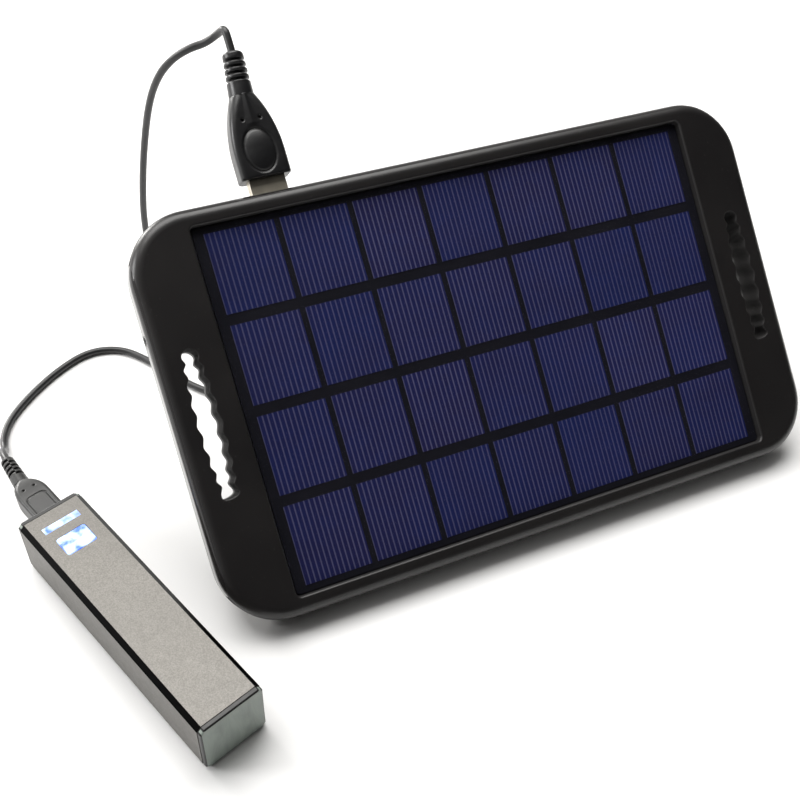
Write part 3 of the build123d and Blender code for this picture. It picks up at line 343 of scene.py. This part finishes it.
def printed_cells():
    """Polycrystalline cells: silver fingers on blue silicon whose grains and tint vary by cell."""
    m = Shader("solar_cell")
    where = m.place(panel_frame)
    split = m.node("ShaderNodeSeparateXYZ")
    m.link(where, split.inputs[0])
    across, along = split.outputs[0], split.outputs[1]
    # which cell, and where in it
    column_at = m.math("ADD", m.math("DIVIDE", across, CELL_PITCH_X), COLUMNS / 2)
    row_at = m.math("ADD", m.math("DIVIDE", along, CELL_PITCH_Y), ROWS / 2)
    column, row = m.math("FLOOR", column_at), m.math("FLOOR", row_at)
    cell = m.node("ShaderNodeCombineXYZ")
    m.link(column, cell.inputs[0])
    m.link(row, cell.inputs[1])
    pick = m.node("ShaderNodeTexWhiteNoise", noise_dimensions="3D")
    m.link(cell.outputs[0], pick.inputs["Vector"])
    in_cell = m.math("MULTIPLY", m.math("SUBTRACT", m.math("FRACT", column_at), 0.5), CELL_PITCH_X)
    # silicon grains
    grains = m.node("ShaderNodeTexVoronoi", feature="F1")
    grains.inputs["Scale"].default_value = 260.0
    m.link(where, grains.inputs["Vector"])
    grain_tone = m.node("ShaderNodeSeparateColor")
    m.link(grains.outputs["Color"], grain_tone.inputs[0])
    silicon = m.mix(pick.outputs["Value"], (0.0135, 0.0235, 0.140), (0.0215, 0.0210, 0.110))
    silicon = m.mix(m.math("MULTIPLY", grain_tone.outputs[0], 0.35), silicon, (0.0150, 0.0290, 0.180))
    cloud = m.ramp(m.noise(where, 48.0, 3.0), (0.38, 0.0), (0.7, 1.0))
    silicon = m.mix(m.math("MULTIPLY", cloud, 0.45), silicon, (0.026, 0.021, 0.095))
    # the fingers run up the cell
    pitch = CELL_WIDTH / (FINGERS + 0.5)
    step = m.math("FRACT", m.math("ADD", m.math("DIVIDE", in_cell, pitch), 0.25))
    off_line = m.math("ABSOLUTE", m.math("SUBTRACT", step, 0.5))
    finger = m.ramp(off_line, (FINGER_SHARE * 0.5, 1.0), (FINGER_SHARE * 1.5, 0.0))
    faint = m.math("MULTIPLY_ADD", pick.outputs["Value"], 0.22, 0.46)
    tone = m.mix(m.math("MULTIPLY", finger, faint), silicon, (0.220, 0.215, 0.400))
    m.link(tone, m.bsdf.inputs["Base Color"])
    m.set(rough=0.5, specular=0.2)
    m.bump(finger, 0.3, FINE_GRAIN)
    return m.material


def clear_cover():
    """The clear resin over the cells: glossy, faintly dusty, nearly unseen but for its reflections."""
    m = Shader("clear_film")
    where = m.place()
    dust = m.ramp(m.noise(where, 1500.0, 1.0), (0.66, 0.0), (0.74, 1.0))
    ripple = m.noise(where, 90.0, 2.0)
    m.link(m.math("MULTIPLY_ADD", dust, 0.25, 0.13, clamp=True), m.bsdf.inputs["Roughness"])
    m.set(color=(0.02, 0.02, 0.03), ior=1.47, specular=0.5)
    m.link(m.math("MULTIPLY_ADD", dust, 0.12, 0.16, clamp=True), m.bsdf.inputs["Alpha"])
    m.bump(ripple, 0.1, 0.00004)
    return m.material


def dark_backing():
    """The printed board behind the cells: deep blue-black solder mask with a weave under it."""
    m = Shader("backing_black")
    where = m.place(panel_frame)
    cloud = m.noise(where, 45.0, 3.0)
    fine = m.noise(where, 1500.0, 2.0)
    spread = m.ramp(cloud, *SPREAD)
    tone = m.mix(spread, (0.0070, 0.0072, 0.0105), (0.0125, 0.0125, 0.0165))
    m.link(tone, m.bsdf.inputs["Base Color"])
    m.link(m.math("MULTIPLY_ADD", cloud, 0.12, 0.28, clamp=True), m.bsdf.inputs["Roughness"])
    m.bump(fine, 0.1, 0.00001)
    return m.material


def bead_blasted():
    """Champagne-grey anodised aluminium: bead-blasted flats, and dark glossy chamfers."""
    m = Shader("champagne_aluminium")
    where = m.place()
    fine = m.noise(where, 2300.0, 3.0, 0.7)
    blotch = m.noise(where, 420.0, 3.0)
    cloud = m.noise(where, 38.0, 3.0)
    tone = m.mix(m.ramp(fine, (0.38, 0.0), (0.64, 1.0)), (0.118, 0.112, 0.103), (0.172, 0.165, 0.152))
    patches = m.math("MULTIPLY", m.ramp(cloud, *SPREAD), 0.3)
    tone = m.mix(patches, tone, (0.125, 0.12, 0.112))
    # chamfers: the faces whose normals lie between the flats, in the bank's own section
    chamfer = m.math("MINIMUM", m.facing(bank_x), m.facing(world_up))
    chamfer = m.math("GREATER_THAN", chamfer, 0.3)
    tone = m.mix(chamfer, tone, (0.003, 0.003, 0.003))
    m.link(tone, m.bsdf.inputs["Base Color"])
    rough = m.math("MULTIPLY_ADD", blotch, 0.14, 0.38, clamp=True)
    m.link(m.math("MULTIPLY_ADD", chamfer, -0.1, rough, clamp=True), m.bsdf.inputs["Roughness"])
    m.link(m.math("MULTIPLY_ADD", chamfer, 0.3, 0.7, clamp=True), m.bsdf.inputs["Metallic"])
    height = m.math("MULTIPLY", fine, m.math("SUBTRACT", 1.0, chamfer))
    m.bump(height, 0.45, 0.00004)
    return m.material


def end_cap():
    """Grey-green moulded cap with faint streaks left by the mould and by wiping."""
    m = Shader("cap_plastic")
    where = m.place()
    streak = m.noise(m.place(bank_frame, scale=(260.0, 30.0, 60.0)), 1.0, 4.0, 0.6, 0.8)
    fine = m.noise(where, 2400.0, 2.0)
    tone = m.mix(m.ramp(streak, (0.3, 0.0), (0.72, 1.0)), (0.220, 0.255, 0.228), (0.320, 0.365, 0.330))
    # a dark seam all round the cap, where its edge meets the tube
    split = m.node("ShaderNodeSeparateXYZ")
    m.link(m.place(bank_frame), split.inputs[0])
    high = m.math("ABSOLUTE", m.math("SUBTRACT", split.outputs[2], BANK_SIZE / 2))
    reach = m.math("MAXIMUM", m.math("ABSOLUTE", split.outputs[0]), high)
    rim = m.math("GREATER_THAN", reach, BANK_SIZE / 2 - CAP_SEAM)
    tone = m.mix(rim, tone, (0.006, 0.006, 0.006))
    m.link(tone, m.bsdf.inputs["Base Color"])
    m.link(m.math("MULTIPLY_ADD", streak, 0.25, 0.28, clamp=True), m.bsdf.inputs["Roughness"])
    m.bump(fine, 0.3, FINE_GRAIN)
    return m.material


def lit_window():
    """A translucent window lit from below, hotter over its lamps and edged in blue."""
    m = Shader("light_window")
    blob = m.noise(m.place(bank_frame), 260.0, 2.0, 0.5, 0.4)
    fine = m.noise(m.place(bank_frame), 2600.0, 2.0)
    heat = m.ramp(blob, (0.36, 0.0), (0.58, 1.0))
    m.link(m.mix(heat, (0.02, 0.12, 0.95), (0.62, 0.80, 1.0)), m.bsdf.inputs["Emission Color"])
    m.link(m.mix(heat, (0.05, 0.12, 0.35), (0.35, 0.42, 0.5)), m.bsdf.inputs["Base Color"])
    m.set(rough=0.3, glow_strength=1.15)
    m.bump(fine, 0.25, FINE_GRAIN)
    return m.material


def cord_jacket():
    """Grey-black PVC: extrusion lines along it, faint dirt, a satin sheen."""
    m = Shader("cord_pvc")
    where = m.place()
    cloud = m.noise(where, 220.0, 4.0)
    fine = m.noise(where, 3200.0, 2.0)
    tone = m.mix(m.ramp(cloud, *SPREAD), (0.012, 0.012, 0.013), (0.026, 0.026, 0.027))
    m.link(tone, m.bsdf.inputs["Base Color"])
    m.link(m.math("MULTIPLY_ADD", cloud, 0.14, 0.30, clamp=True), m.bsdf.inputs["Roughness"])
    m.bump(fine, 0.3, GRAIN_HEIGHT)
    return m.material


FINISHES = {
    "bezel_plastic": panel_bezel(),
    "black_plastic": moulded("black_plastic", (0.010, 0.010, 0.010), (0.017, 0.017, 0.018), 0.55),
    "backing_black": dark_backing(),
    "solar_cell": printed_cells(),
    "clear_film": clear_cover(),
    "tape": moulded("tape", (0.02, 0.02, 0.02), (0.035, 0.035, 0.035), 0.7),
    "tinned_copper": metal("tinned_copper", (0.72, 0.71, 0.69), 0.35),
    "circuit_board": moulded("circuit_board", (0.006, 0.06, 0.028), (0.01, 0.09, 0.04), 0.35, coat=0.3),
    "component_black": moulded("component_black", (0.015, 0.015, 0.015), (0.03, 0.03, 0.03), 0.5),
    "ferrite": moulded("ferrite", (0.05, 0.05, 0.052), (0.09, 0.09, 0.092), 0.65, grain=1500.0),
    "plated_steel": metal("plated_steel", (0.72, 0.67, 0.56), 0.42),
    "steel": metal("steel", (0.56, 0.56, 0.56), 0.3),
    "gold_contact": metal("gold_contact", (0.86, 0.62, 0.25), 0.2),
    "socket_plastic": moulded("socket_plastic", (0.72, 0.72, 0.70), (0.82, 0.82, 0.80), 0.4),
    "wire_red": moulded("wire_red", (0.42, 0.012, 0.012), (0.55, 0.02, 0.02), 0.4),
    "wire_black": moulded("wire_black", (0.012, 0.012, 0.012), (0.022, 0.022, 0.022), 0.4),
    "foot_rubber": moulded("foot_rubber", (0.014, 0.014, 0.014), (0.028, 0.028, 0.028), 0.75, grain=1200.0),
    "overmould_pvc": moulded(
        "overmould_pvc", (0.008, 0.008, 0.009), (0.015, 0.015, 0.016), 0.33, soften=0.0005, scuff=0.12
    ),
    "cord_pvc": cord_jacket(),
    "champagne_aluminium": bead_blasted(),
    "cap_plastic": end_cap(),
    "seal_black": moulded("seal_black", (0.008, 0.008, 0.008), (0.014, 0.014, 0.014), 0.5),
    "battery_can": metal("battery_can", (0.62, 0.62, 0.62), 0.3),
    "battery_film": moulded("battery_film", (0.012, 0.10, 0.30), (0.02, 0.15, 0.38), 0.25, coat=0.4),
    "foam": moulded("foam", (0.05, 0.05, 0.05), (0.10, 0.10, 0.10), 0.85, grain=900.0),
    "light_window": lit_window(),
    "led_package": moulded("led_package", (0.80, 0.76, 0.42), (0.90, 0.88, 0.60), 0.3, coat=0.3),
}
# the micro-USB plug's moulding is greyer than the USB-A one
MICRO_GREY = moulded("micro_grey", (0.018, 0.018, 0.0175), (0.032, 0.032, 0.031), 0.38, soften=0.0004)


def finish_nodes():
    """Give every CAD node the finish of its material slot."""
    for row in frame["record"]["subparts"]:
        obj = nodes[row["node"]]
        obj.data.materials.clear()
        obj.data.materials.append(FINISHES[row["material_slot"]])
    for name in ("micro_usb_overmould", "micro_usb_strain_relief"):
        nodes[name].data.materials.clear()
        nodes[name].data.materials.append(MICRO_GREY)
    cord.data.materials.append(FINISHES["cord_pvc"])


finish_nodes()


# ---- Moulded plug bodies and strain relief, lofted from rounded sections ----
def loft(name, rings, matrix, material, body, stands_for):
    """A closed smooth skin through rings of points, each ring given in the piece's own frame."""
    mesh = bmesh.new()
    made = [[mesh.verts.new(matrix @ Vector(point)) for point in ring] for ring in rings]
    count = len(made[0])
    for lower, upper in zip(made, made[1:]):
        for k in range(count):
            mesh.faces.new((lower[k], lower[(k + 1) % count], upper[(k + 1) % count], upper[k]))
    mesh.faces.new(list(reversed(made[0])))
    mesh.faces.new(made[-1])
    bmesh.ops.recalc_face_normals(mesh, faces=mesh.faces)
    data = bpy.data.meshes.new(name)
    mesh.to_mesh(data)
    mesh.free()
    for face in data.polygons:
        face.use_smooth = len(face.vertices) == 4
    data.materials.append(material)
    piece = link(bpy.data.objects.new(name, data))
    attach(piece, body)
    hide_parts(stands_for)
    return piece


FLAT_STEPS, SIDE_STEPS, CORNER_STEPS = 44, 14, 8   # points along a ring's top, side and corner


def rounded_ring(half_width, half_height, corner, along):
    """One rounded rectangle across a plug body, as points (x, along, z), with most points on its top."""
    corner = min(corner, half_width * 0.98, half_height * 0.98)
    wide, high = half_width - corner, half_height - corner
    points = []
    for quarter, (side_x, side_z) in enumerate(((1, 1), (-1, 1), (-1, -1), (1, -1))):
        middle_x, middle_z, start = side_x * wide, side_z * high, 90.0 * quarter
        for k in range(CORNER_STEPS):
            turn = radians(start + 90.0 * k / CORNER_STEPS)
            points.append((middle_x + corner * cos(turn), along, middle_z + corner * sin(turn)))
        # then the straight run on to the next corner: across a flat, or down a side
        turn = radians(start + 90.0)
        from_x, from_z = middle_x + corner * cos(turn), middle_z + corner * sin(turn)
        is_flat = quarter % 2 == 0
        to_x, to_z = (-from_x, from_z) if is_flat else (from_x, -from_z)
        steps = FLAT_STEPS if is_flat else SIDE_STEPS
        for k in range(steps):
            share = k / steps
            points.append((from_x + (to_x - from_x) * share, along, from_z + (to_z - from_z) * share))
    return points


def drawn_in(full, straight, end, length, along):
    """A half width that stays full at first, then follows a tangent arc in to the neck."""
    if along <= straight:
        return full
    run, drop = length - straight, full - end
    arc = (run * run + drop * drop) / (2 * drop)
    ahead = along - straight
    return full - (arc - (arc * arc - ahead * ahead) ** 0.5)


def groove(distance, width, depth):
    """The depth of a soft-edged groove at some distance from its middle."""
    share = abs(distance) / width
    return depth * (1 + cos(pi * share)) / 2 if share < 1 else 0.0


END_ROUND = 0.0007                # round at the mouth of a plug body
END_RINGS, BODY_RINGS = 6, 110


def plug_body(name, matrix, size, corner, relief_of, material, stands_for):
    """A moulded plug body whose top is worked into its thumb pad, ridge and holes by relief_of(x, y)."""
    half_width, half_height, length = size["half_width"], size["half_height"], size["length"]
    neck_width, neck_height, straight = size["neck_width"], size["neck_height"], size["straight"]
    rings = []
    for k in range(END_RINGS + 1):
        turn = radians(90.0 * k / END_RINGS)
        draw = END_ROUND * (1 - sin(turn))
        along = END_ROUND * (1 - cos(turn))
        rings.append(rounded_ring(half_width - draw, half_height - draw, corner, along))
    for k in range(1, BODY_RINGS + 1):
        along = END_ROUND + (length - END_ROUND) * k / BODY_RINGS
        wide = drawn_in(half_width, straight, neck_width, length, along)
        high = drawn_in(half_height, straight, neck_height, length, along)
        nearing = max(0.0, (along - straight) / (length - straight))
        rings.append(rounded_ring(wide, high, corner + (neck_height - corner) * nearing ** 3, along))
    shaped = []
    for ring in rings:
        new = []
        for x, y, z in ring:
            if z > 0.0:
                # the relief fades in over the upper part of the height
                inside = min(1.0, max(0.0, (z / half_height - 0.55) / 0.3))
                z += relief_of(x, y) * inside
            new.append((x, y, z))
        shaped.append(new)
    return loft(name, shaped, matrix, material, "lead", stands_for)


def pin_holes(x, y, aside, up, width, depth):
    """The depth of a pair of small round holes, one on each side of the middle line."""
    return sum(
        groove(((x - side * aside) ** 2 + (y - up) ** 2) ** 0.5, width, depth) for side in (-1, 1)
    )


PAD_HALF_WIDTH, PAD_HALF_LENGTH, PAD_MIDDLE = 0.00485, 0.0067, 0.0086
PAD_CROWN, PAD_SINK = 0.0009, 0.0001
RIDGE_START, RIDGE_RUN, RIDGE_HEIGHT = 0.0165, 0.0125, 0.00045
RIDGE_WIDE, RIDGE_NARROW, RIDGE_RAMP = 0.0019, 0.0004, 0.0008


def usb_relief_map(x, y):
    """A domed thumb pad in a shallow ring, then two pin holes and a ridge that narrows to the neck."""
    pad = ((x / PAD_HALF_WIDTH) ** 2 + ((y - PAD_MIDDLE) / PAD_HALF_LENGTH) ** 2) ** 0.5
    height = PAD_CROWN * (1 - pad ** 2.4) - PAD_SINK if pad < 1.0 else 0.0
    height -= groove((pad - 1.04) * 0.0055, 0.0006, 0.0005)
    height -= pin_holes(x, y, 0.0029, 0.0188, 0.00075, 0.0014)
    if y > RIDGE_START:
        past = y - RIDGE_START
        reach = RIDGE_WIDE * max(0.0, 1 - past / RIDGE_RUN) + RIDGE_NARROW
        height += RIDGE_HEIGHT * max(0.0, 1 - abs(x) / reach) * min(1.0, past / RIDGE_RAMP)
    return height


TONGUE_HALF_WIDTH, TONGUE_END, TONGUE_CORNER = 0.0034, 0.0083, 0.0018


def micro_relief_map(x, y):
    """A tongue outlined by a rounded groove, with two pin holes near the neck."""
    corner_x, corner_y = TONGUE_HALF_WIDTH - TONGUE_CORNER, TONGUE_END - TONGUE_CORNER
    if y < corner_y:
        line = abs(x) - TONGUE_HALF_WIDTH
    elif abs(x) < corner_x:
        line = y - TONGUE_END
    else:
        line = ((abs(x) - corner_x) ** 2 + (y - corner_y) ** 2) ** 0.5 - TONGUE_CORNER
    return -groove(line, 0.00038, 0.00035) - pin_holes(x, y, 0.0019, 0.0122, 0.0006, 0.001)


USB_SEAT, MICRO_SEAT = 0.00505, 0.0006             # from the joint to the plug body's mouth
USB_BODY = {
    "half_width": 0.0084, "half_height": 0.0045, "straight": 0.007, "length": 0.0272,
    "neck_width": 0.0042, "neck_height": 0.0040,
}
MICRO_BODY = {
    "half_width": 0.0052, "half_height": 0.00375, "straight": 0.009, "length": 0.0174,
    "neck_width": 0.0028, "neck_height": 0.0028,
}
joints = {joint["name"]: joint for joint in frame["joints"]}
usb_origin = Vector(joints["usb_a_pull"]["pos_m"]) + panel_y * USB_SEAT
plug_body(
    "usb_a_grip", frame_matrix(usb_origin, panel_x, panel_y, panel_z), USB_BODY, 0.0019, usb_relief_map,
    FINISHES["overmould_pvc"], "usb_a_overmould",
)
micro_origin = Vector(joints["micro_usb_pull"]["pos_m"]) + bank_y * MICRO_SEAT
plug_body(
    "micro_usb_grip", frame_matrix(micro_origin, bank_x, bank_y, world_up), MICRO_BODY, 0.0011,
    micro_relief_map, MICRO_GREY, "micro_usb_overmould",
)

SLEEVE_LENGTH, SLEEVE_INSIDE = 0.0142, 0.0008      # seen, and hidden in the plug body
SLEEVE_START_RADIUS, SLEEVE_END_RADIUS, SLEEVE_SHOULDER = 0.00415, 0.0034, 0.0011
SLEEVE_GROOVES, GROOVE_FROM, GROOVE_PITCH = 4, 0.0050, 0.0021
GROOVE_HALF_WIDTH, GROOVE_DEPTH = 0.00072, 0.00125
SLEEVE_RINGS, SLEEVE_AROUND = 150, 48


def make_relief():
    """The USB-A strain relief: a tapered sleeve with a rounded shoulder and narrow grooves round it."""
    neck = usb_origin + panel_y * USB_BODY["length"]
    # it leans the way the cord has pulled it
    lean_to = (Vector(v * MM for v in cord_exit) - neck).normalized()
    side = lean_to.cross(panel_z).normalized()
    matrix = frame_matrix(neck, side, side.cross(lean_to), lean_to)
    rings = []
    for k in range(SLEEVE_RINGS + 1):
        up_to = -SLEEVE_INSIDE + (SLEEVE_LENGTH + SLEEVE_INSIDE) * k / SLEEVE_RINGS
        taper = (SLEEVE_END_RADIUS - SLEEVE_START_RADIUS) * max(0.0, up_to) / SLEEVE_LENGTH
        radius = SLEEVE_START_RADIUS + taper
        if up_to > SLEEVE_LENGTH - SLEEVE_SHOULDER:
            ahead = min(1.0, (up_to - (SLEEVE_LENGTH - SLEEVE_SHOULDER)) / SLEEVE_SHOULDER)
            radius -= SLEEVE_SHOULDER * (1 - (1 - ahead ** 2) ** 0.5) * 0.9
        for g in range(SLEEVE_GROOVES):
            radius -= groove(up_to - GROOVE_FROM - g * GROOVE_PITCH, GROOVE_HALF_WIDTH, GROOVE_DEPTH)
        turns = [2 * pi * a / SLEEVE_AROUND for a in range(SLEEVE_AROUND)]
        rings.append([(radius * cos(turn), radius * sin(turn), up_to) for turn in turns])
    return loft(
        "usb_a_sleeve", rings, matrix, FINISHES["overmould_pvc"], "lead", "usb_a_strain_relief",
    )


make_relief()


# ---- Floor, room and lights ----
FLOOR_HALF = 3.0
ROOM_STRENGTH = 0.8
ROOM_TONES = (                    # from the dark front of the room to its pale back
    (0.12, (0.012, 0.012, 0.012)), (0.32, (0.07, 0.068, 0.066)), (0.80, (0.80, 0.79, 0.77)),
)
ROOM_BACK_SHARE, ROOM_SIDE_SHARE = 0.42, -0.30     # how far the tone follows Y, and X
BACKDROP = (1.15, 1.15, 1.15)
WARM = (1.0, 0.985, 0.96)


def make_floor():
    reach = FLOOR_HALF
    corners = [(-reach, -reach, 0), (reach, -reach, 0), (reach, reach, 0), (-reach, reach, 0)]
    mesh = bpy.data.meshes.new("floor")
    mesh.from_pydata(corners, [], [(0, 1, 2, 3)])
    floor = link(bpy.data.objects.new("floor", mesh))
    m = Shader("floor")
    m.set(color=(0.93, 0.93, 0.93), rough=0.9, specular=0.1)
    mesh.materials.append(m.material)


def make_room():
    """A room that the object reflects: dim in front of it, paler behind it and to the left."""
    world = bpy.data.worlds.new("studio")
    bpy.context.scene.world = world
    world.use_nodes = True
    new, join = world.node_tree.nodes.new, world.node_tree.links.new
    background = world.node_tree.nodes["Background"]
    split = new("ShaderNodeSeparateXYZ")
    join(new("ShaderNodeTexCoord").outputs["Generated"], split.inputs[0])
    back, aside = new("ShaderNodeMath"), new("ShaderNodeMath")
    for node, share in ((back, ROOM_BACK_SHARE), (aside, ROOM_SIDE_SHARE)):
        node.operation = "MULTIPLY_ADD"
        node.inputs[1].default_value = share
    back.inputs[2].default_value = 0.5
    join(split.outputs["Y"], back.inputs[0])
    join(split.outputs["X"], aside.inputs[0])
    join(back.outputs[0], aside.inputs[2])
    ramp = new("ShaderNodeValToRGB")
    marks = ramp.color_ramp.elements
    marks.new(0.5)
    for mark, (position, tone) in zip(marks, ROOM_TONES):
        mark.position = position
        mark.color = (*tone, 1.0)
    join(aside.outputs[0], ramp.inputs["Fac"])
    # the room is only seen in reflections; past the floor's edge the backdrop is pale
    backdrop = new("ShaderNodeMix")
    backdrop.data_type = "RGBA"
    backdrop.inputs[7].default_value = (*BACKDROP, 1.0)
    join(new("ShaderNodeLightPath").outputs["Is Camera Ray"], backdrop.inputs[0])
    join(ramp.outputs["Color"], backdrop.inputs[6])
    join(backdrop.outputs[2], background.inputs["Color"])
    background.inputs["Strength"].default_value = ROOM_STRENGTH


def add_lamp(name, data, direction):
    """Put a lamp in the scene, shining along a direction."""
    lamp = link(bpy.data.objects.new(name, data))
    lamp.rotation_euler = Vector(direction).to_track_quat("-Z", "Y").to_euler()
    return lamp


def area_light(name, place, target, size, power, tint=(1.0, 1.0, 1.0)):
    data = bpy.data.lights.new(name, "AREA")
    data.shape = "RECTANGLE"
    data.size, data.size_y = size
    data.energy = power
    data.color = tint
    add_lamp(name, data, Vector(target) - Vector(place)).location = place


def soft_sun(name, direction, strength, spread):
    data = bpy.data.lights.new(name, "SUN")
    data.energy, data.angle = strength, radians(spread)
    add_lamp(name, data, direction)


make_floor()
make_room()
area_light("overhead", (0.0, 0.55, 1.25), (0.0, 0.05, 0.0), (1.4, 0.8), 17.0, WARM)
area_light("left", (-1.25, 0.5, 0.62), (-0.05, 0.0, 0.03), (0.36, 0.5), 8.0)
soft_sun("sky", (0.05, -0.45, -1.0), 0.8, 50.0)
area_light("behind", (-0.50, 1.20, 0.34), (0.0, 0.03, 0.05), (0.40, 0.36), 9.0, WARM)
bpy.context.scene.view_settings.view_transform = "Standard"
